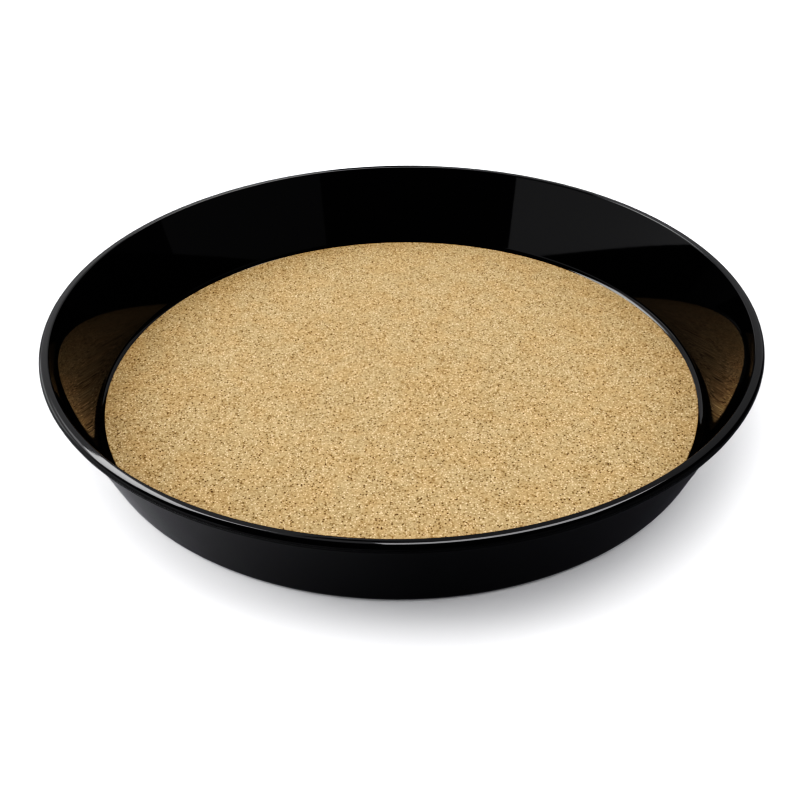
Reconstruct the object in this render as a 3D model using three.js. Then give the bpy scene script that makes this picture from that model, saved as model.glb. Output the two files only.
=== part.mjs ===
// Cork-lined round serving tray.
//
// One black plastic moulding with a flared wall and a beaded lip holds a disc of
// agglomerated cork, which a thin adhesive sheet bonds to the floor.
// Units are millimetres. The origin is the centre of the base, on the surface that the
// tray stands on, and +Z points up out of the tray.

import * as THREE from 'three';

// Driving dimensions of the shell.
const RIM_RADIUS = 178;          // outermost edge of the lip
const TRAY_HEIGHT = 50;          // standing surface to lip top
const WALL = 2.4;                // moulding thickness, the same in floor and wall
const FLOOR_TOP = 3.4;           // height of the floor's upper face
const WALL_ANGLE = THREE.MathUtils.degToRad(70.7);  // wall against the floor
const FLOOR_EDGE = 156.95;       // where the inner wall's line meets the floor
const INNER_FILLET = 4.5;        // inside corner between floor and wall
const OUTER_ROUND = 4.9;         // outside corner between standing ring and wall
const FOOT_RING_INNER = 142;     // inner edge of the flat ring that the tray stands on
const UNDERSIDE_RECESS = FLOOR_TOP - WALL;  // rise of the underside inside that ring
const RECESS_SLOPE = 2.5;        // radial run of the step up into the recess

// Driving dimensions of the lip and the beads under it.
const LIP_OUTER_ROUND = 2.3;     // round from lip top to outermost edge
const LIP_INNER_ROUND = 1.0;     // round from lip top to inner wall
const UPPER_BEAD_BOTTOM = 47.4;  // lower edge of the outermost bead
const LOWER_BEAD_BOTTOM = 46.0;  // lower edge of the second bead
const BEAD_STEP = 0.5;           // how far the second bead stands back
const BEAD_EDGE = 0.25;          // small round on both beads' lower edges
const UNDER_LIP_FILLET = 1.2;    // inside corner between wall and lip

// Driving dimensions of the lining.
const SHEET_THICKNESS = 0.25;
const SHEET_RADIUS = 151;
const CORK_THICKNESS = 1.75;
const CORK_RADIUS = 154.7;
const CORK_OFFSET_X = -0.4;      // the disc is laid by hand, a little off centre

// Facets: the lathe's segments and the steps in each rounded corner.
const SEGMENTS = 72;
const CORNER_STEPS = 5;
const EDGE_STEPS = 2;

const tangentRun = Math.tan(WALL_ANGLE / 2);
const wallNormal = Math.PI - (Math.PI / 2 - WALL_ANGLE);

/** Radius of the inner wall's face at height z. */
function innerWall(z) {
  return FLOOR_EDGE + (z - FLOOR_TOP) / Math.tan(WALL_ANGLE);
}

/** Radius of the outer wall's face at height z. */
function outerWall(z) {
  return innerWall(z) + WALL / Math.sin(WALL_ANGLE);
}

/** Points on an arc about (radius, height), from one angle to another, ends included. */
function arc(radius, height, size, from, to, steps) {
  const points = [];
  for (let i = 0; i <= steps; i += 1) {
    const angle = from + ((to - from) * i) / steps;
    const x = radius + size * Math.cos(angle);
    const y = height + size * Math.sin(angle);
    points.push(new THREE.Vector2(x, y));
  }
  return points;
}

/** Turns a profile of (radius, height) points about the Z axis. */
function turned(profile) {
  const geometry = new THREE.LatheGeometry(profile, SEGMENTS);
  geometry.rotateX(Math.PI / 2);
  return geometry;
}

/** A plain disc whose underside is at height z. */
function disc(radius, z, thickness) {
  return turned([
    new THREE.Vector2(0, z),
    new THREE.Vector2(radius, z),
    new THREE.Vector2(radius, z + thickness),
    new THREE.Vector2(0, z + thickness),
  ]);
}

/** The recessed underside, the standing ring and the outside corner. */
function baseProfile() {
  const cornerCentre = outerWall(0) - OUTER_ROUND * tangentRun;
  return [
    new THREE.Vector2(0, UNDERSIDE_RECESS),
    new THREE.Vector2(FOOT_RING_INNER - RECESS_SLOPE, UNDERSIDE_RECESS),
    new THREE.Vector2(FOOT_RING_INNER, 0),
    ...arc(cornerCentre, OUTER_ROUND, OUTER_ROUND,
      -Math.PI / 2, WALL_ANGLE - Math.PI / 2, CORNER_STEPS),
  ];
}

/** The corner under the lip, both beads, the lip and its inner round. */
function lipProfile() {
  const underLip = outerWall(LOWER_BEAD_BOTTOM) + UNDER_LIP_FILLET * tangentRun;
  const lowerBead = RIM_RADIUS - BEAD_STEP;
  const innerCentre = innerWall(TRAY_HEIGHT) + LIP_INNER_ROUND * tangentRun;
  return [
    ...arc(underLip, LOWER_BEAD_BOTTOM - UNDER_LIP_FILLET, UNDER_LIP_FILLET,
      wallNormal, Math.PI / 2, EDGE_STEPS),
    ...arc(lowerBead - BEAD_EDGE, LOWER_BEAD_BOTTOM + BEAD_EDGE, BEAD_EDGE,
      -Math.PI / 2, 0, EDGE_STEPS),
    new THREE.Vector2(lowerBead, UPPER_BEAD_BOTTOM),
    ...arc(RIM_RADIUS - BEAD_EDGE, UPPER_BEAD_BOTTOM + BEAD_EDGE, BEAD_EDGE,
      -Math.PI / 2, 0, EDGE_STEPS),
    ...arc(RIM_RADIUS - LIP_OUTER_ROUND, TRAY_HEIGHT - LIP_OUTER_ROUND, LIP_OUTER_ROUND,
      0, Math.PI / 2, CORNER_STEPS),
    ...arc(innerCentre, TRAY_HEIGHT - LIP_INNER_ROUND, LIP_INNER_ROUND,
      Math.PI / 2, wallNormal, EDGE_STEPS),
  ];
}

/** The inside corner and the floor, back to the axis. */
function wellProfile() {
  const cornerCentre = FLOOR_EDGE - INNER_FILLET * tangentRun;
  return [
    ...arc(cornerCentre, FLOOR_TOP + INNER_FILLET, INNER_FILLET,
      WALL_ANGLE - Math.PI / 2, -Math.PI / 2, CORNER_STEPS),
    new THREE.Vector2(0, FLOOR_TOP),
  ];
}

const gloss = new THREE.MeshStandardMaterial({
  color: 0x0b0b0d,
  roughness: 0.08,
  metalness: 0,
});
const cork = new THREE.MeshStandardMaterial({
  color: 0xc8aa76,
  roughness: 0.9,
  metalness: 0,
});
const adhesive = new THREE.MeshStandardMaterial({
  color: 0xd8cfae,
  roughness: 0.5,
  metalness: 0,
});

const tray = new THREE.Group();

const shell = new THREE.Mesh(
  turned([...baseProfile(), ...lipProfile(), ...wellProfile()]),
  gloss,
);
shell.name = 'tray_shell';
tray.add(shell);

const sheet = new THREE.Mesh(disc(SHEET_RADIUS, FLOOR_TOP, SHEET_THICKNESS), adhesive);
sheet.name = 'adhesive_sheet';
sheet.position.x = CORK_OFFSET_X;
tray.add(sheet);

const mat = new THREE.Mesh(
  disc(CORK_RADIUS, FLOOR_TOP + SHEET_THICKNESS, CORK_THICKNESS),
  cork,
);
mat.name = 'cork_mat';
mat.position.x = CORK_OFFSET_X;
tray.add(mat);

export default tray;
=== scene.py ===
"""Looks of a cork-lined serving tray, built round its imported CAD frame.

The tray's lengths are in millimetres and the studio's in metres, unless a field says
otherwise. Meshes are in metres, and angles in fields are in degrees.
"""

import logging
import math
from dataclasses import dataclass, field
from enum import Enum
from typing import Any, Sequence

import bpy
import numpy as np
from mathutils import Euler, Matrix, Vector


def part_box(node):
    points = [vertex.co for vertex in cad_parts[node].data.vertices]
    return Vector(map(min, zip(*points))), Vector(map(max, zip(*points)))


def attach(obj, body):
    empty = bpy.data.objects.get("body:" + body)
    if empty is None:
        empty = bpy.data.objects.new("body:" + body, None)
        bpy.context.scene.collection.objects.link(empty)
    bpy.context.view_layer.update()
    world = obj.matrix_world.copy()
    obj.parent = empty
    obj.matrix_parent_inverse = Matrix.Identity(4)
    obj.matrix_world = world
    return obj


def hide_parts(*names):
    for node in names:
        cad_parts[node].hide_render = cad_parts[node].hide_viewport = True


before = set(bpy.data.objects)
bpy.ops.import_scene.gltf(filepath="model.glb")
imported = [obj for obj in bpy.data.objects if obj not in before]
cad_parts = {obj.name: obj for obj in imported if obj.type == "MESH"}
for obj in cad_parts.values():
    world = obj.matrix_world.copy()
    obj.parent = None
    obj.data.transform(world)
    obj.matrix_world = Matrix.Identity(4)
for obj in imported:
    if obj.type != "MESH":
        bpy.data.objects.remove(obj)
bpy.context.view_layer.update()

LOG = logging.getLogger("tray")
MM = 0.001
ROOT = "root"
# The place of the curve that acts on all three colours at once.
COMBINED_CURVE = 3

Triple = tuple[float, float, float]
Colour = Triple
Stops = Sequence[tuple[float, Colour]]

BLACK: Colour = (0.0, 0.0, 0.0)


class Blend(Enum):
    """How one colour is laid over another."""

    MIX = "MIX"
    MULTIPLY = "MULTIPLY"


class Cells(Enum):
    """What a field of cells gives at each point."""

    NEAREST = "F1"
    TO_EDGE = "DISTANCE_TO_EDGE"


# ---------------------------------------------------------------------------
# Shader graphs
# ---------------------------------------------------------------------------


class Signal:
    """A number socket that Python's arithmetic operators add Math nodes to."""

    def __init__(self, graph: "Graph", socket: bpy.types.NodeSocket) -> None:
        """Wraps one output socket.

        Args:
            graph: the graph that the socket's node is in.
            socket: the output that carries the number.
        """
        self.graph = graph
        self.socket = socket

    def _math(
        self, operation: str, first: "Signal | float", second: "Signal | float"
    ) -> "Signal":
        """Adds one Math node.

        Args:
            operation: the node's operation.
            first: its first value or link.
            second: its second value or link.

        Returns:
            The node's result.
        """
        return self.graph.add(
            "ShaderNodeMath", {"operation": operation}, {0: first, 1: second}, "Value"
        )

    def __add__(self, other: "Signal | float") -> "Signal":
        """Gives self + other."""
        return self._math("ADD", self, other)

    def __radd__(self, other: float) -> "Signal":
        """Gives other + self."""
        return self._math("ADD", other, self)

    def __sub__(self, other: "Signal | float") -> "Signal":
        """Gives self - other."""
        return self._math("SUBTRACT", self, other)

    def __rsub__(self, other: float) -> "Signal":
        """Gives other - self."""
        return self._math("SUBTRACT", other, self)

    def __mul__(self, other: "Signal | float") -> "Signal":
        """Gives self * other."""
        return self._math("MULTIPLY", self, other)

    def __rmul__(self, other: float) -> "Signal":
        """Gives other * self."""
        return self._math("MULTIPLY", other, self)

    def __gt__(self, other: "Signal | float") -> "Signal":
        """Gives 1 where self is above other, and 0 elsewhere."""
        return self._math("GREATER_THAN", self, other)


class Graph:
    """One material's nodes."""

    def __init__(self, name: str) -> None:
        """Starts a material that holds only a Principled shader.

        Args:
            name: the material's name.
        """
        self.material = bpy.data.materials.new(name)
        self.material.use_nodes = True
        self.tree = self.material.node_tree
        self.tree.nodes.clear()
        self.shader = self.tree.nodes.new("ShaderNodeBsdfPrincipled")
        output = self.tree.nodes.new("ShaderNodeOutputMaterial")
        self.tree.links.new(self.shader.outputs["BSDF"], output.inputs["Surface"])

    def add(
        self,
        kind: str,
        settings: dict[str, Any],
        inputs: dict[int | str, Any],
        output: str,
    ) -> Signal:
        """Adds a node, with its settings made before its sockets are filled.

        Args:
            kind: the node's type.
            settings: its properties, and for a ramp its stops.
            inputs: a value or a link for each socket, by name or place.
            output: the name of the socket to give back.

        Returns:
            That output socket.
        """
        node = self.tree.nodes.new(kind)
        for key, value in settings.items():
            if key == "stops":
                self._set_stops(node.color_ramp, value)
            else:
                setattr(node, key, value)
        for key, value in inputs.items():
            self._fill(self._socket(node.inputs, key), value)
        return Signal(self, self._socket(node.outputs, output))

    @staticmethod
    def _set_stops(ramp: bpy.types.ColorRamp, stops: Stops) -> None:
        """Sets a ramp's stops.

        Args:
            ramp: the ramp, with its two first stops.
            stops: a place and a colour for each stop.
        """
        while len(ramp.elements) < len(stops):
            ramp.elements.new(1.0)
        for element, (place, colour) in zip(ramp.elements, stops):
            element.position = place
            element.color = (*colour, 1.0)

    @staticmethod
    def _socket(sockets: Any, key: int | str) -> bpy.types.NodeSocket:
        """Finds a socket in use.

        Args:
            sockets: a node's inputs or outputs.
            key: the socket's name, or its place.

        Returns:
            The socket.
        """
        if isinstance(key, int):
            return sockets[key]
        return next(s for s in sockets if s.enabled and s.name == key)

    def _fill(self, socket: bpy.types.NodeSocket, value: Any) -> None:
        """Links or sets one input.

        Args:
            socket: the input.
            value: a signal to link, or a number, vector or colour to set.
        """
        if isinstance(value, Signal):
            self.tree.links.new(value.socket, socket)
        elif socket.type == "RGBA":
            socket.default_value = (*value[:3], 1.0)
        else:
            socket.default_value = value

    def set_shader(self, values: dict[str, Any]) -> None:
        """Fills the Principled shader's sockets.

        Args:
            values: a value or a link for each socket, by name.
        """
        for key, value in values.items():
            self._fill(self.shader.inputs[key], value)

    def place(self, stretch: Triple = (1.0, 1.0, 1.0)) -> Signal:
        """Gives the place on the piece, in millimetres.

        Args:
            stretch: a factor for each axis.

        Returns:
            The place as a vector.
        """
        here = self.add("ShaderNodeTexCoord", {}, {}, "Object")
        factors = tuple(s / MM for s in stretch)
        return self.add(
            "ShaderNodeVectorMath", {"operation": "MULTIPLY"}, {0: here, 1: factors}, "Vector"
        )

    def noise(
        self, where: Signal, size: float, detail: float, roughness: float = 0.5
    ) -> Signal:
        """Gives soft noise from 0 to 1.

        Args:
            where: the place in millimetres.
            size: the width of its blotches in millimetres.
            detail: how many finer layers it has.
            roughness: how strong those layers are.

        Returns:
            The noise.
        """
        return self.add(
            "ShaderNodeTexNoise",
            {},
            {"Vector": where, "Scale": 1.0 / size, "Detail": detail, "Roughness": roughness},
            "Fac",
        )

    def cells(self, where: Signal, size: float, kind: Cells, output: str) -> Signal:
        """Gives a field of packed cells.

        Args:
            where: the place in millimetres.
            size: the width of a cell in millimetres.
            kind: what is measured.
            output: the name of the socket to give back.

        Returns:
            The distance, or the colour that each cell has to itself.
        """
        return self.add(
            "ShaderNodeTexVoronoi",
            {"feature": kind.value},
            {"Vector": where, "Scale": 1.0 / size},
            output,
        )

    def part(self, colour: Signal, channel: str) -> Signal:
        """Gives one channel of a colour: Red, Green or Blue."""
        return self.add("ShaderNodeSeparateColor", {}, {"Color": colour}, channel)

    def ramp(self, value: Signal, stops: Stops) -> Signal:
        """Turns a number into a colour.

        Args:
            value: the number.
            stops: a place and a colour for each stop.

        Returns:
            The colour.
        """
        return self.add("ShaderNodeValToRGB", {"stops": stops}, {"Fac": value}, "Color")

    def spread(
        self, value: Signal, low: float, high: float, to_low: float = 0.0, to_high: float = 1.0
    ) -> Signal:
        """Maps a range of numbers to another, and holds it there.

        Args:
            value: the number.
            low: where the range starts.
            high: where it ends.
            to_low: what it gives at the start.
            to_high: what it gives at the end.

        Returns:
            The mapped number.
        """
        return self.add(
            "ShaderNodeMapRange",
            {"clamp": True},
            {
                "Value": value,
                "From Min": low,
                "From Max": high,
                "To Min": to_low,
                "To Max": to_high,
            },
            "Result",
        )

    def lay(self, below: Any, above: Any, factor: Any, blend: Blend = Blend.MIX) -> Signal:
        """Lays one colour over another.

        Args:
            below: the colour underneath.
            above: the colour on top.
            factor: how much of it is there.
            blend: how the two are joined.

        Returns:
            The colour.
        """
        return self.add(
            "ShaderNodeMix",
            {"data_type": "RGBA", "blend_type": blend.value},
            {"Factor": factor, "A": below, "B": above},
            "Result",
        )

    def bump(self, height: Signal, depth: float) -> Signal:
        """Turns a height into a normal.

        Args:
            height: the height from 0 to 1.
            depth: how high 1 stands, in millimetres.

        Returns:
            The normal.
        """
        return self.add(
            "ShaderNodeBump", {}, {"Height": height, "Distance": depth * MM}, "Normal"
        )


# ---------------------------------------------------------------------------
# Finishes
# ---------------------------------------------------------------------------


@dataclass(frozen=True)
class PolishedBlack:
    """Black plastic from a polished mould, with the marks of light use."""

    name: str = "polished_black_plastic"
    colour: Colour = (0.0022, 0.0022, 0.0026)
    roughness: float = 0.038
    haze: float = 0.02
    haze_from: float = 0.25
    haze_to: float = 0.5
    wear_size: float = 28.0
    scuff_size: float = 3.0
    scuff_stretch: Triple = (1.0, 6.0, 6.0)
    scuff_roughness: float = 0.7
    ripple_size: float = 9.0
    ripple_depth: float = 0.006
    ior: float = 1.5

    def material(self) -> bpy.types.Material:
        """Makes the material.

        Returns:
            The material.
        """
        graph = Graph(self.name)
        where = graph.place()
        wear = graph.noise(where, self.wear_size, detail=4.0)
        along = graph.place(self.scuff_stretch)
        scuffs = graph.noise(along, self.scuff_size, detail=3.0, roughness=self.scuff_roughness)
        worn = graph.spread(wear * scuffs, self.haze_from, self.haze_to)
        ripple = graph.noise(where, self.ripple_size, detail=1.0)
        graph.set_shader(
            {
                "Base Color": self.colour,
                "Roughness": self.roughness + self.haze * worn,
                "IOR": self.ior,
                "Normal": graph.bump(ripple, self.ripple_depth),
            }
        )
        return graph.material


@dataclass(frozen=True)
class Dots:
    """Round dots scattered over a surface, one at most in each of many places."""

    spacing: float
    share: float
    small: float
    large: float
    softness: float = 0.12

    def mask(self, graph: Graph, where: Signal) -> Signal:
        """Scatters the dots.

        Args:
            graph: the graph that they go in.
            where: the place in millimetres.

        Returns:
            1 in a dot, and 0 outside.
        """
        kinds = graph.cells(where, self.spacing, Cells.NEAREST, "Color")
        near = graph.cells(where, self.spacing, Cells.NEAREST, "Distance")
        radius = graph.part(kinds, "Blue") * (self.large - self.small) + self.small
        chosen = graph.part(kinds, "Green") > 1.0 - self.share
        return chosen * graph.spread(radius - near, 0.0, self.softness)


@dataclass(frozen=True)
class CorkGranulate:
    """Fine cork granules pressed into a sheet and sanded.

    A dot's radii and softness are shares of its spacing. Weights run from 0 to 1.
    """

    name: str = "fine_cork_granulate"
    granule: float = 0.8
    crown_dots: Dots = Dots(spacing=1.25, share=0.55, small=0.26, large=0.46)
    pit_dots: Dots = Dots(spacing=1.35, share=0.62, small=0.20, large=0.40)
    crown: Colour = (0.69, 0.52, 0.325)
    light: Colour = (0.395, 0.287, 0.155)
    middle: Colour = (0.277, 0.200, 0.105)
    dark: Colour = (0.155, 0.100, 0.046)
    # The pit colour is partly the cork's own dark specks and partly painted shade in its pits.
    pit_speck_and_shade: Colour = (0.046, 0.022, 0.008)
    warm: Colour = (1.0, 0.95, 0.90)
    dark_share: float = 0.2
    seam_width: float = 0.12
    seam_weight: float = 0.5
    crown_weight: float = 0.8
    pit_speck_and_shade_weight: float = 0.95
    cloud_size: float = 12.0
    cloud_from: float = 0.40
    cloud_to: float = 0.62
    fuzz_size: float = 0.25
    granule_height: float = 0.4
    crown_height: float = 0.3
    fuzz_height: float = 0.3
    seam_drop: float = 0.3
    relief: float = 0.12
    roughest: float = 0.95
    smoothest: float = 0.78
    ior: float = 1.4
    gloss: float = 0.35

    def material(self) -> bpy.types.Material:
        """Makes the material.

        Returns:
            The material.
        """
        graph = Graph(self.name)
        where = graph.place()
        granules = graph.cells(where, self.granule, Cells.NEAREST, "Color")
        gaps = graph.cells(where, self.granule, Cells.TO_EDGE, "Distance")
        tone = graph.part(granules, "Red")
        grain = graph.ramp(
            tone, [(0.0, self.dark), (self.dark_share, self.middle), (1.0, self.light)]
        )
        seam = graph.spread(gaps, 0.0, self.seam_width, 1.0, 0.0)
        joined = graph.lay(grain, self.dark, seam * self.seam_weight)
        crowns = self.crown_dots.mask(graph, where)
        crowned = graph.lay(joined, self.crown, crowns * self.crown_weight)
        # Near-black pit dots: partly the cork's dark specks, partly painted shade in the pits
        # that the bump sinks.
        pits = self.pit_dots.mask(graph, where)
        speckled_and_pit_shaded = graph.lay(crowned, self.pit_speck_and_shade, pits * self.pit_speck_and_shade_weight)
        clouds = graph.spread(
            graph.noise(where, self.cloud_size, detail=4.0), self.cloud_from, self.cloud_to
        )
        fuzz = graph.noise(where, self.fuzz_size, detail=2.0)
        height = (
            graph.part(granules, "Blue") * self.granule_height
            + crowns * self.crown_height
            + fuzz * self.fuzz_height
            - seam * self.seam_drop
            - pits
        )
        graph.set_shader(
            {
                "Base Color": graph.lay(speckled_and_pit_shaded, self.warm, clouds, Blend.MULTIPLY),
                "Roughness": graph.spread(tone, 0.0, 1.0, self.roughest, self.smoothest),
                "IOR": self.ior,
                "Specular IOR Level": self.gloss,
                "Normal": graph.bump(height, self.relief),
            }
        )
        return graph.material


@dataclass(frozen=True)
class BondingFilm:
    """A thin, cloudy layer of set adhesive."""

    name: str = "bonding_film"
    clear: Colour = (0.66, 0.60, 0.42)
    cloudy: Colour = (0.74, 0.70, 0.55)
    cloud_size: float = 6.0
    cloud_from: float = 0.3
    cloud_to: float = 0.7
    smoothest: float = 0.35
    roughest: float = 0.6
    relief: float = 0.05

    def material(self) -> bpy.types.Material:
        """Makes the material.

        Returns:
            The material.
        """
        graph = Graph(self.name)
        clouds = graph.noise(graph.place(), self.cloud_size, detail=3.0)
        rough = graph.spread(
            clouds, self.cloud_from, self.cloud_to, self.smoothest, self.roughest
        )
        graph.set_shader(
            {
                "Base Color": graph.lay(self.clear, self.cloudy, clouds),
                "Roughness": rough,
                "Normal": graph.bump(clouds, self.relief),
            }
        )
        return graph.material


# ---------------------------------------------------------------------------
# Turned meshes
# ---------------------------------------------------------------------------


# How far a guard point stands from the end of a round, and how many times further the
# next corner has to be for the straight run to get one.
GUARD = 0.25
GUARD_ROOM = 4
# How far in from the rim the mat's edge reaches, as a factor of its upper round.
EDGE_BAND = 1.2


@dataclass(frozen=True)
class Corner:
    """A corner of a turned section: its place and the radius that rounds it."""

    r: float
    z: float
    radius: float = 0.0


def disc_corners(
    radius: float, low: float, high: float, under: float, over: float
) -> list[Corner]:
    """Lists the corners of a disc's section.

    Args:
        radius: the disc's radius.
        low: its underside's height.
        high: its top's height.
        under: the round of its lower edge.
        over: the round of its upper edge.

    Returns:
        The corners, from under the disc to its top.
    """
    return [
        Corner(0.0, low),
        Corner(radius, low, under),
        Corner(radius, high, over),
        Corner(0.0, high),
    ]


def circle(radius: float, z: float, count: int) -> np.ndarray:
    """Gives points on a level circle about the Z axis.

    Args:
        radius: its radius.
        z: its height.
        count: how many points it has.

    Returns:
        One row (x, y, z) for each point.
    """
    angles = np.linspace(0.0, 2 * math.pi, count, endpoint=False)
    return np.column_stack(
        [radius * np.cos(angles), radius * np.sin(angles), np.full(count, z)]
    )


def rounded(corners: Sequence[Corner], step: float = 8.0) -> np.ndarray:
    """Rounds a section's corners.

    Args:
        corners: the section's corners, from the axis and back to it.
        step: the largest turn between two points of a round, in degrees.

    Returns:
        One row (r, z) for each point, in millimetres.
    """
    points: list[np.ndarray] = [np.array((corners[0].r, corners[0].z))]
    for before, here, after in zip(corners, corners[1:], corners[2:]):
        at = np.array((here.r, here.z))
        back = np.array((before.r, before.z)) - at
        ahead = np.array((after.r, after.z)) - at
        points.extend(_round_corner(at, back, ahead, here.radius, step))
    points.append(np.array((corners[-1].r, corners[-1].z)))
    return np.array(points)


def _round_corner(
    at: np.ndarray, back: np.ndarray, ahead: np.ndarray, radius: float, step: float
) -> list[np.ndarray]:
    """Gives one rounded corner, with a guard point at each end that has room for it.

    A guard point holds the straight run beside a round straight in smooth shading.

    Args:
        at: the sharp corner.
        back: from it to the corner before.
        ahead: from it to the corner after.
        radius: the round's radius.
        step: the largest turn between two points, in degrees.

    Returns:
        The points in order.
    """
    back_unit = back / np.linalg.norm(back)
    ahead_unit = ahead / np.linalg.norm(ahead)
    inside = math.acos(float(np.clip(back_unit @ ahead_unit, -1.0, 1.0)))
    run = radius / math.tan(inside / 2)
    bisector = back_unit + ahead_unit
    centre = at + bisector / np.linalg.norm(bisector) * radius / math.sin(inside / 2)
    start = at + back_unit * run - centre
    end = at + ahead_unit * run - centre
    turn = math.pi - inside
    count = max(2, math.ceil(math.degrees(turn) / step))
    arc = [
        centre + (start * math.sin((1 - t) * turn) + end * math.sin(t * turn)) / math.sin(turn)
        for t in np.linspace(0.0, 1.0, count + 1)
    ]
    reach = run + GUARD
    if np.linalg.norm(back) > GUARD_ROOM * reach:
        arc.insert(0, at + back_unit * reach)
    if np.linalg.norm(ahead) > GUARD_ROOM * reach:
        arc.append(at + ahead_unit * reach)
    return arc


def turned(name: str, section: np.ndarray, segments: int) -> bpy.types.Object:
    """Turns a section about the Z axis into a closed mesh.

    Args:
        name: the object's name.
        section: rows (r, z) in millimetres, from the axis and back to it.
        segments: how many faces go round.

    Returns:
        The object, at the origin.
    """
    rings = [circle(r, z, segments) for r, z in section[1:-1]]
    return webbed(name, rings, section[0][1], section[-1][1])


def webbed(
    name: str, rings: Sequence[np.ndarray], bottom: float, top: float
) -> bpy.types.Object:
    """Joins rings of points, and a point on the axis at each end, into a closed mesh.

    Args:
        name: the object's name.
        rings: rows (x, y, z) in millimetres for each ring, from under the piece to its
            top. A ring has as many points as the one before it, or half as many.
        bottom: the height of the first point on the axis.
        top: the height of the last one.

    Returns:
        The object, at the origin.
    """
    points = np.concatenate([*rings, [[0.0, 0.0, bottom], [0.0, 0.0, top]]]) * MM
    faces: list[tuple[int, ...]] = []
    start = 0
    for ring, above in zip(rings, rings[1:]):
        count = len(ring)
        here = start + np.arange(count)
        there = np.roll(here, -1)
        high = start + count + np.arange(len(above))
        next_high = np.roll(high, -1)
        if len(above) == count:
            faces.extend(zip(here, there, next_high, high))
        else:
            faces.extend(zip(here[::2], there[::2], high))
            faces.extend(zip(there[::2], next_high, high))
            faces.extend(zip(here[1::2], there[1::2], next_high))
        start += count
    first = np.arange(len(rings[0]))
    last = start + np.arange(len(rings[-1]))
    pole = len(points) - 2
    faces.extend((pole, b, a) for a, b in zip(first, np.roll(first, -1)))
    faces.extend((pole + 1, a, b) for a, b in zip(last, np.roll(last, -1)))
    return mesh_object(name, points, faces)


def mesh_object(
    name: str, points: np.ndarray, faces: Sequence[tuple[int, ...]]
) -> bpy.types.Object:
    """Makes a smooth mesh object.

    Args:
        name: the object's name.
        points: rows (x, y, z) in metres.
        faces: the points of each face.

    Returns:
        The object, linked to the scene.
    """
    mesh = bpy.data.meshes.new(name)
    mesh.from_pydata(points.tolist(), [], [tuple(int(i) for i in face) for face in faces])
    mesh.validate()
    mesh.shade_smooth()
    made = bpy.data.objects.new(name, mesh)
    bpy.context.collection.objects.link(made)
    return made


def dress(
    piece: bpy.types.Object, material: bpy.types.Material, node: str
) -> None:
    """Gives a piece its material and its place in the frame.

    Args:
        piece: the piece.
        material: its material.
        node: the CAD node that it replaces.
    """
    piece.data.materials.append(material)
    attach(piece, ROOT)
    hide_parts(node)
    LOG.info("%s: %d faces", piece.name, len(piece.data.polygons))


# ---------------------------------------------------------------------------
# The tray
# ---------------------------------------------------------------------------


@dataclass
class TrayShell:
    """The black moulding: floor, flared wall, beads and lip."""

    node: str = "tray_shell"
    wall: float = 2.4
    wall_angle: float = 70.7
    floor_top: float = 3.4
    floor_edge: float = 156.95
    inner_fillet: float = 4.5
    base_round: float = 4.9
    ring_inner: float = 142.0
    ring_round: float = 1.0
    recess: float = 1.0
    recess_slope: float = 2.5
    recess_round: float = 1.5
    lip_outer_round: float = 2.3
    lip_inner_round: float = 1.0
    upper_bead_drop: float = 2.6
    lower_bead_drop: float = 4.0
    bead_step: float = 0.5
    bead_edge: float = 0.25
    bead_crease: float = 0.15
    under_lip_fillet: float = 1.2
    segments: int = 480
    finish: PolishedBlack = field(default_factory=PolishedBlack)

    def wall_radius(self, z: float) -> float:
        """Gives the inner wall's radius at a height."""
        run = (z - self.floor_top) / math.tan(math.radians(self.wall_angle))
        return self.floor_edge + run

    def section(self, rim: float, top: float) -> list[Corner]:
        """Lists the section's corners.

        Args:
            rim: the lip's outermost radius.
            top: the lip's height.

        Returns:
            The corners, from under the floor, over the lip and back.
        """
        thick = self.wall / math.sin(math.radians(self.wall_angle))
        upper = top - self.upper_bead_drop
        lower = top - self.lower_bead_drop
        return [
            Corner(0.0, self.recess),
            Corner(self.ring_inner - self.recess_slope, self.recess, self.recess_round),
            Corner(self.ring_inner, 0.0, self.ring_round),
            Corner(self.wall_radius(0.0) + thick, 0.0, self.base_round),
            Corner(self.wall_radius(lower) + thick, lower, self.under_lip_fillet),
            Corner(rim - self.bead_step, lower, self.bead_edge),
            Corner(rim - self.bead_step, upper, self.bead_crease),
            Corner(rim, upper, self.bead_edge),
            Corner(rim, top, self.lip_outer_round),
            Corner(self.wall_radius(top), top, self.lip_inner_round),
            Corner(self.floor_edge, self.floor_top, self.inner_fillet),
            Corner(0.0, self.floor_top),
        ]

    def build(self) -> bpy.types.Object:
        """Builds and dresses the shell.

        Returns:
            The shell.
        """
        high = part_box(self.node)[1] / MM
        shell = turned("moulded_tray", rounded(self.section(high.x, high.z)), self.segments)
        dress(shell, self.finish.material(), self.node)
        return shell


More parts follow.
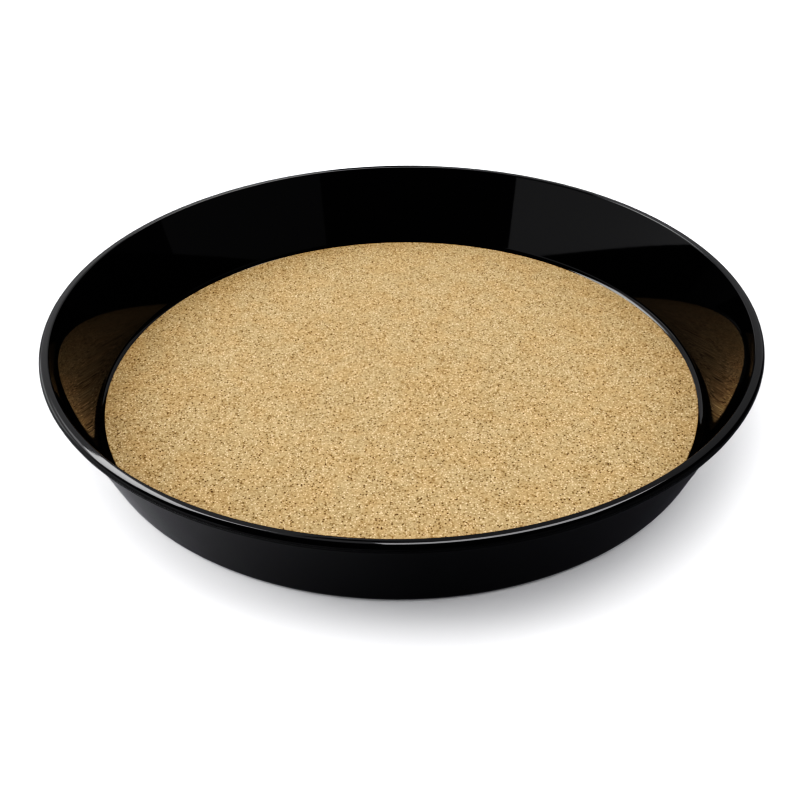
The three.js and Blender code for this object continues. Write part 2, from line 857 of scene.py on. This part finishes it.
@dataclass
class CorkMat:
    """The disc of granulate: granules and pits in its sanded top, and a torn cut edge."""

    node: str = "cork_mat"
    ring_step: float = 0.88
    widest: float = 1.27
    innermost_points: int = 6
    edge_margin: float = 0.6
    edge_round: float = 0.3
    under_round: float = 0.1
    edge_step: float = 30.0
    side_low: float = 0.6
    side_high: float = 0.7
    side_rings: int = 3
    wander: float = 0.28
    swell: float = 0.07
    pit_share: float = 0.03
    pit_depth: float = 0.22
    tear: float = 0.12
    seed: int = 7
    finish: CorkGranulate = field(default_factory=CorkGranulate)

    def _edge(self, radius: float, low: float, high: float, count: int) -> list[np.ndarray]:
        """Gives the cut edge, with granules torn out of it.

        Args:
            radius: the disc's radius.
            low: the underside's height.
            high: the top's height.
            count: how many points each ring has.

        Returns:
            The rings from the underside up.
        """
        rng = np.random.default_rng(self.seed)
        corners = disc_corners(radius, low, high, self.under_round, self.edge_round)
        turns = [tuple(point) for point in rounded(corners, self.edge_step)[1:-1]]
        heights = np.linspace(low + self.side_low, high - self.side_high, self.side_rings)
        side = [(radius, z) for z in heights]
        outline = sorted(turns + side, key=lambda point: (point[1], point[0]))
        rings = []
        for r, z in outline:
            if r > radius - EDGE_BAND * self.edge_round:
                ring = circle(r, z, count)
                ring[:, :2] *= 1.0 - self.tear * rng.random((count, 1)) ** 2 / radius
                rings.append(ring)
        return rings

    def _top(self, radius: float, high: float) -> list[np.ndarray]:
        """Gives the top, where each point is a granule's crown or the bottom of a pit.

        Args:
            radius: where the top meets the edge's round.
            high: the top's height.

        Returns:
            The rings from the edge inward.
        """
        rng = np.random.default_rng(self.seed + 1)
        rings = []
        steps = int(radius / self.ring_step)
        for step in range(steps, 0, -1):
            r = radius * (step - 0.5) / steps
            least = 2 * math.pi * r / self.widest / self.innermost_points
            count = self.innermost_points * 2 ** max(0, math.ceil(math.log2(least)))
            ring = circle(r, high, count)
            ring[:, :2] += rng.uniform(-self.wander, self.wander, (count, 2))
            ring[:, 2] -= self.swell * rng.random(count)
            pits = rng.random(count) < self.pit_share
            ring[pits, 2] -= self.pit_depth * rng.random(int(pits.sum()))
            rings.append(ring)
        return rings

    def build(self) -> bpy.types.Object:
        """Builds and dresses the mat.

        Returns:
            The mat.
        """
        low, high = (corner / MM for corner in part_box(self.node))
        radius = (high.y - low.y) / 2
        top = self._top(radius - self.edge_margin, high.z)
        edge = self._edge(radius, low.z, high.z, len(top[0]))
        mat = webbed("cork_disc", edge + top, low.z, high.z)
        mat.location.x = (low.x + high.x) / 2 * MM
        dress(mat, self.finish.material(), self.node)
        return mat


@dataclass
class AdhesiveSheet:
    """The film that bonds the cork to the floor."""

    node: str = "adhesive_sheet"
    segments: int = 240
    edge_round: float = 0.08
    finish: BondingFilm = field(default_factory=BondingFilm)

    def build(self) -> bpy.types.Object:
        """Builds and dresses the sheet.

        Returns:
            The sheet.
        """
        low, high = (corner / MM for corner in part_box(self.node))
        radius = (high.y - low.y) / 2
        corners = disc_corners(radius, low.z, high.z, self.edge_round, self.edge_round)
        sheet = turned("bonding_sheet", rounded(corners), self.segments)
        sheet.location.x = (low.x + high.x) / 2 * MM
        dress(sheet, self.finish.material(), self.node)
        return sheet


# ---------------------------------------------------------------------------
# The studio
# ---------------------------------------------------------------------------


class Reach(Enum):
    """What a light does: it is mirrored in gloss, or it lights matt surfaces."""

    GLOSS = (True, False)
    SPREAD = (False, True)


class Facing(Enum):
    """Which way a light's face looks."""

    TRAY = "tray"
    FLOOR = "floor"


@dataclass(frozen=True)
class Softbox:
    """A rectangular light, with its lengths in metres.

    Its azimuth is 0 in front of the tray and grows toward the tray's right.
    """

    name: str
    reach: Reach
    radiance: float
    width: float
    depth: float
    azimuth: float
    elevation: float
    distance: float
    facing: Facing = Facing.TRAY

    def build(self) -> bpy.types.Object:
        """Hangs the light.

        Returns:
            The light.
        """
        data = bpy.data.lights.new(self.name, "AREA")
        data.shape = "RECTANGLE"
        data.size = self.width
        data.size_y = self.depth
        data.energy = self.radiance * math.pi * self.width * self.depth
        azimuth = math.radians(self.azimuth)
        elevation = math.radians(self.elevation)
        toward = Vector(
            (
                math.sin(azimuth) * math.cos(elevation),
                -math.cos(azimuth) * math.cos(elevation),
                math.sin(elevation),
            )
        )
        light = bpy.data.objects.new(self.name, data)
        light.location = toward * self.distance
        if self.facing is Facing.TRAY:
            light.rotation_mode = "QUATERNION"
            light.rotation_quaternion = toward.to_track_quat("Z", "Y")
        light.visible_glossy, light.visible_diffuse = self.reach.value
        bpy.context.collection.objects.link(light)
        return light


@dataclass
class Studio:
    """The white floor, the soft lights and the camera.

    The camera's place and the mirrored floor are in millimetres. A tone point is a
    light level and the level that is shown for it.
    """

    floor_colour: Colour = (0.92, 0.92, 0.93)
    floor_half: float = 6.0
    backdrop_colour: Colour = (0.97, 0.97, 0.975)
    backdrop_radius: float = 3.0
    backdrop_height: float = 3.5
    backdrop_sides: int = 96
    room: Colour = (0.08, 0.08, 0.09)
    lens: float = 45.0
    sensor: float = 36.0
    clip_start: float = 0.01
    camera_distance: float = 509.6
    camera_elevation: float = 35.74
    camera_roll: float = 0.876
    aim_right: float = 0.28
    aim_up: float = 50.2
    mirrored_drop: float = 0.2
    # The floor that gloss mirrors has painted shade and painted light: dim from x = 10 mm
    # rightward, bright from x = -100 mm leftward.
    mirrored_painted_shade: Colour = (0.42, 0.42, 0.44)
    mirrored_painted_light: Colour = (0.95, 0.95, 0.96)
    painted_light_from: float = 10.0
    painted_light_to: float = -100.0
    tone: tuple[tuple[float, float], ...] = (
        (0.02, 0.0022),
        (0.05, 0.0115),
        (0.09, 0.033),
        (0.13, 0.068),
        (0.20, 0.145),
        (0.32, 0.29),
        (0.50, 0.50),
    )
    softboxes: tuple[Softbox, ...] = (
        Softbox("main_box", Reach.GLOSS, 6.5, 0.9, 1.10, 145.6, 66.1, 1.64, Facing.FLOOR),
        Softbox("main_spill", Reach.GLOSS, 1.2, 0.38, 1.05, -158.7, 64.2, 1.666, Facing.FLOOR),
        Softbox("back_left_box", Reach.GLOSS, 7.0, 1.1, 0.58, -131.0, 50.5, 1.8),
        Softbox("back_left_skirt", Reach.GLOSS, 1.7, 1.0, 0.20, -125.0, 38.3, 1.8),
        Softbox("left_panel", Reach.GLOSS, 0.9, 3.6, 0.9, -88.0, 13.0, 2.0),
        Softbox("right_panel", Reach.GLOSS, 0.28, 2.4, 0.9, 62.0, 13.0, 2.0),
        Softbox("back_left_wall", Reach.GLOSS, 1.05, 3.2, 1.94, -139.0, 31.0, 2.4),
        Softbox("back_right_wall", Reach.GLOSS, 0.75, 2.20, 1.94, 152.0, 31.0, 2.4),
        Softbox("left_key", Reach.SPREAD, 5.80, 1.2, 1.2, -95.0, 40.0, 2.0),
        Softbox("left_low_key", Reach.SPREAD, 2.10, 1.2, 0.8, -95.0, 20.0, 2.0),
        Softbox("back_left_key", Reach.SPREAD, 3.19, 1.1, 0.83, -131.0, 46.0, 1.8),
        Softbox("back_right_key", Reach.SPREAD, 3.36, 1.2, 1.2, 130.0, 40.0, 2.0),
        Softbox("right_key", Reach.SPREAD, 2.02, 1.6, 1.2, 90.0, 45.0, 2.2),
        Softbox("front_left_key", Reach.SPREAD, 1.34, 1.6, 1.6, -45.0, 45.0, 2.2),
        Softbox("overhead_key", Reach.SPREAD, 2.60, 1.2, 1.2, 0.0, 89.0, 2.0),
        Softbox("ceiling_fill", Reach.SPREAD, 1.01, 8.0, 8.0, 0.0, 80.0, 3.5),
    )

    def lay_floor(self, graph: Graph, drop: float) -> bpy.types.Object:
        """Lays a matt floor.

        Args:
            graph: its material, with its colour set.
            drop: how far it lies under the tray, in millimetres.

        Returns:
            The floor.
        """
        half = self.floor_half
        signs = ((-1, -1), (1, -1), (1, 1), (-1, 1))
        corners = np.array([(x * half, y * half, -drop * MM) for x, y in signs])
        floor = mesh_object(graph.material.name, corners, [(0, 1, 2, 3)])
        graph.set_shader({"Roughness": 1.0, "Specular IOR Level": 0.0})
        floor.data.materials.append(graph.material)
        floor.visible_shadow = False
        return floor

    def build_floors(self) -> None:
        """Lays the white floor that is seen, and the one that gloss mirrors, whose colour is
        painted shade and light: dim from the middle rightward, lighter toward the left.
        """
        white = Graph("floor")
        white.set_shader({"Base Color": self.floor_colour})
        seen = self.lay_floor(white, 0.0)
        seen.visible_glossy = False
        shaded = Graph("mirrored_floor")
        across = shaded.add("ShaderNodeSeparateXYZ", {}, {"Vector": shaded.place()}, "X")
        # Painted shade and light: the mirrored floor grows from dim at the middle to bright on
        # the left.
        painted_light_share = shaded.spread(across, self.painted_light_to, self.painted_light_from, 1.0, 0.0)
        colour = shaded.lay(self.mirrored_painted_shade, self.mirrored_painted_light, painted_light_share)
        shaded.set_shader({"Base Color": colour})
        mirrored = self.lay_floor(shaded, self.mirrored_drop)
        mirrored.visible_camera = False
        mirrored.visible_diffuse = False

    def build_backdrop(self) -> None:
        """Stands a pale round wall on the floor, which is seen but lights nothing."""
        sides = self.backdrop_sides
        heights = (0.0, self.backdrop_height)
        points = np.concatenate([circle(self.backdrop_radius, z, sides) for z in heights])
        here = np.arange(sides)
        there = np.roll(here, -1)
        faces = list(zip(there, here, here + sides, there + sides))
        wall = mesh_object("backdrop", points, faces)
        graph = Graph("backdrop")
        graph.set_shader(
            {
                "Base Color": BLACK,
                "Emission Color": self.backdrop_colour,
                "Emission Strength": 1.0,
                "Specular IOR Level": 0.0,
            }
        )
        wall.data.materials.append(graph.material)
        wall.visible_glossy = False
        wall.visible_diffuse = False
        wall.visible_shadow = False

    def build_camera(self, target: Vector) -> bpy.types.Object:
        """Places the camera.

        Args:
            target: the centre of the rim.

        Returns:
            The camera.
        """
        data = bpy.data.cameras.new("camera")
        data.lens = self.lens
        data.sensor_width = self.sensor
        data.clip_start = self.clip_start
        camera = bpy.data.objects.new("camera", data)
        turn = Euler((math.radians(90.0 - self.camera_elevation), 0.0, 0.0)).to_matrix()
        turn = turn @ Matrix.Rotation(math.radians(-self.camera_roll), 3, "Z")
        offset = Vector((-self.aim_right, -self.aim_up, self.camera_distance)) * MM
        camera.matrix_world = Matrix.Translation(target + turn @ offset) @ turn.to_4x4()
        bpy.context.collection.objects.link(camera)
        bpy.context.scene.camera = camera
        return camera

    def build_room(self) -> None:
        """Sets the unlit room's glow and the plain display of light."""
        scene = bpy.context.scene
        world = bpy.data.worlds.new("room")
        world.use_nodes = True
        background = world.node_tree.nodes["Background"]
        background.inputs["Color"].default_value = (*self.room, 1.0)
        scene.world = world
        view = scene.view_settings
        view.view_transform = "Standard"
        view.look = "None"
        view.use_curve_mapping = True
        combined = view.curve_mapping.curves[COMBINED_CURVE]
        for light, shown in self.tone:
            combined.points.new(light, shown)
        view.curve_mapping.update()

    def build(self) -> None:
        """Builds the whole studio."""
        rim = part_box("tray_shell")[1]
        self.build_room()
        self.build_floors()
        self.build_backdrop()
        self.build_camera(Vector((0.0, 0.0, rim.z)))
        for softbox in self.softboxes:
            softbox.build()


def main() -> None:
    """Builds the tray's pieces and the studio."""
    logging.basicConfig(level=logging.INFO)
    for sub_assembly in (TrayShell(), CorkMat(), AdhesiveSheet()):
        sub_assembly.build()
    Studio().build()


if __name__ == "__main__":
    main()
